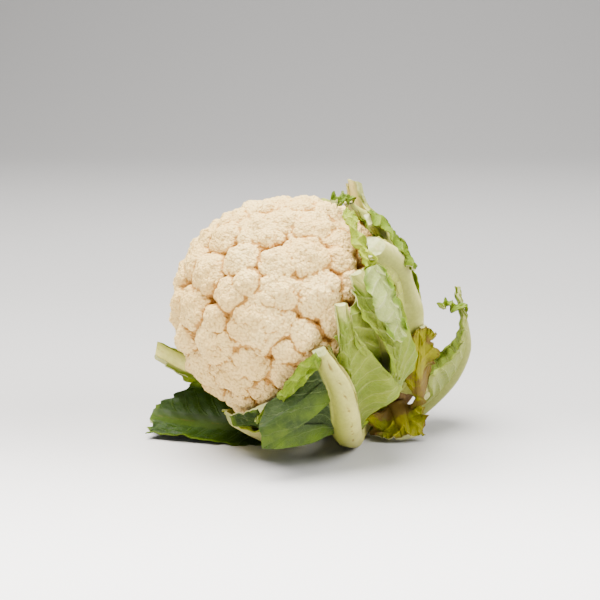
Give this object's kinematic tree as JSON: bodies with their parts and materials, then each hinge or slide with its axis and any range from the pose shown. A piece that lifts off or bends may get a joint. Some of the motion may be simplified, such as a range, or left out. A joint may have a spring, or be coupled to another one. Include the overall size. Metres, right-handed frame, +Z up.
{
  "type": "cauliflower",
  "caption": "Whole trimmed cauliflower lying on its side: a domed curd of knobbly florets on a short stalk, wrapped in overlapping ribbed leaves.",
  "frame": {"origin": "on the table, under the middle of the object's bounding box", "axes": "+Z up. The head leans back on its leaves: its axis points from the stalk to the crown towards -X, a little towards -Y, and about 32 degrees up. The viewer of the usual side view stands on the -Y side"},
  "size_m": [0.2418, 0.2084, 0.1852],
  "materials": {
    "curd": "matte",
    "stalk": "matte",
    "leaf_green": "satin",
    "leaf_dark": "satin",
    "leaf_pale": "satin",
    "leaf_old": "matte"
  },
  "bodies": {
    "root": {"curd": "curd", "stalk": "stalk", "leaf_small_inner": "leaf_pale", "leaf_inner_right": "leaf_green", "leaf_inner_top": "leaf_green", "leaf_inner_front": "leaf_dark", "leaf_inner_back": "leaf_green", "leaf_top": "leaf_green", "leaf_folded": "leaf_green", "leaf_lower_front": "leaf_pale", "leaf_under": "leaf_dark", "leaf_back_middle": "leaf_green", "leaf_upper": "leaf_green", "leaf_long_rib": "leaf_pale", "leaf_front_right": "leaf_green", "leaf_front_rib": "leaf_green", "leaf_back_upper": "leaf_green", "leaf_back_low": "leaf_green", "leaf_left": "leaf_green", "leaf_old_upper": "leaf_old", "leaf_outer_right": "leaf_pale", "leaf_old_low": "leaf_old"}
  },
  "joints": []
}
